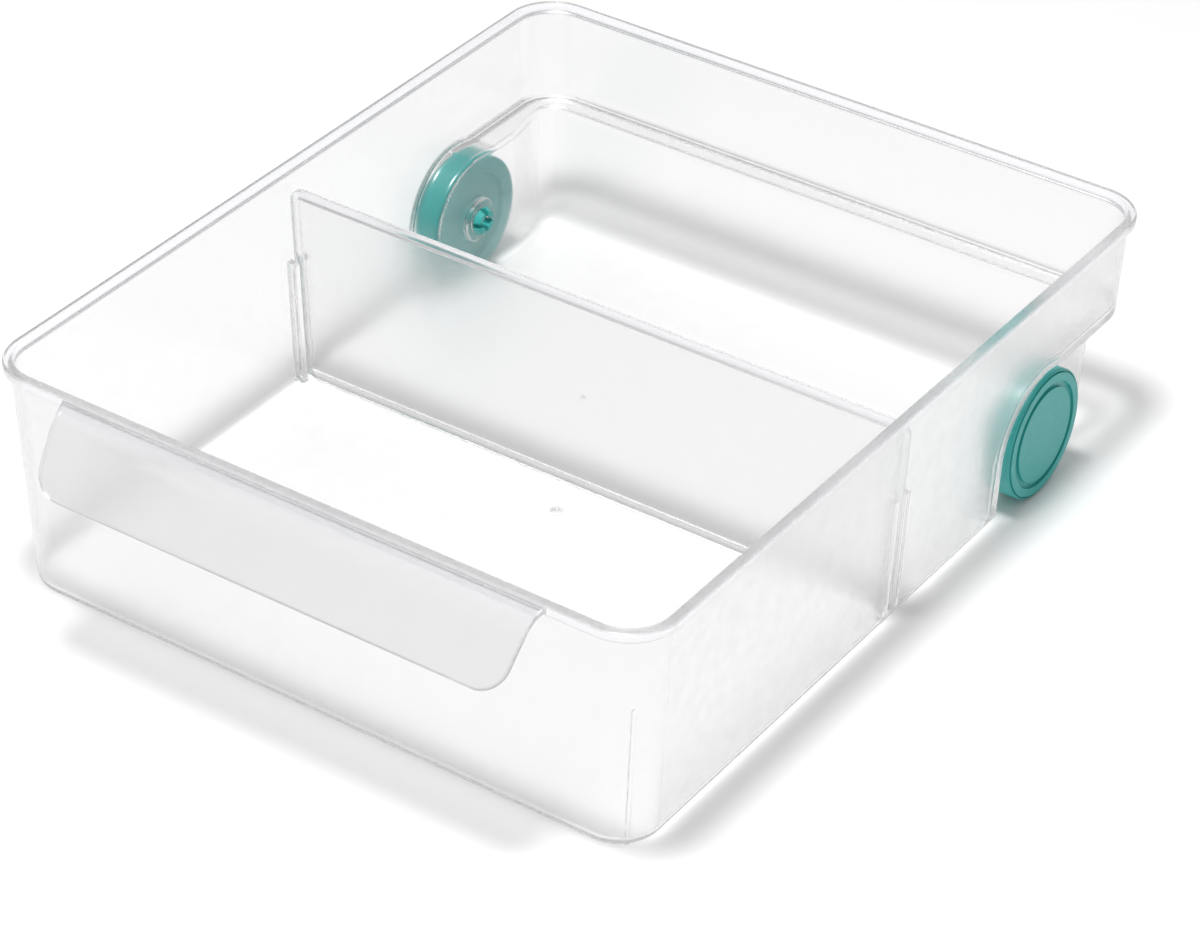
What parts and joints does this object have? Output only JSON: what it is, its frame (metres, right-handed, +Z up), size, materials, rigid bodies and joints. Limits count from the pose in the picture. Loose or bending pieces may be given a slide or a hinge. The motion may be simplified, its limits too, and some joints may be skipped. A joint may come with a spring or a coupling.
{
  "type": "fridge organizer bin",
  "caption": "Clear pull-out fridge bin with a sloping pull flap, a stepped-in rear carried on snap-in wheels and a lift-out divider in moulded guides.",
  "frame": {"origin": "middle of the base between the front and rear walls, on the surface the bin stands on", "axes": "+X to the bin's right seen from the front, +Y from the pull flap to the rear wheels, +Z up"},
  "size_m": [0.2998, 0.3846, 0.1],
  "materials": {
    "clear_tub": "clear moulded plastic with a light haze and a faint cool tint in thick edges",
    "clear_divider": "clear moulded plastic with a light haze",
    "wheel": "satin moulded plastic, muted teal, coloured through"
  },
  "bodies": {
    "tub": {"tub": "clear_tub"},
    "divider": {"divider": "clear_divider"},
    "wheel_left": {"wheel_left": "wheel"},
    "wheel_right": {"wheel_right": "wheel"}
  },
  "joints": [
    {"name": "divider_lift", "type": "slide", "parent": "tub", "child": "divider", "axis": [0, 0, 1], "range_m": [0, 0.1]},
    {"name": "wheel_left_spin", "type": "hinge", "parent": "tub", "child": "wheel_left", "pos_m": [-0.1331, 0.1076, 0.0275], "axis": [1, 0, 0], "continuous": true},
    {"name": "wheel_right_spin", "type": "hinge", "parent": "tub", "child": "wheel_right", "pos_m": [0.1331, 0.1076, 0.0275], "axis": [1, 0, 0], "continuous": true}
  ]
}
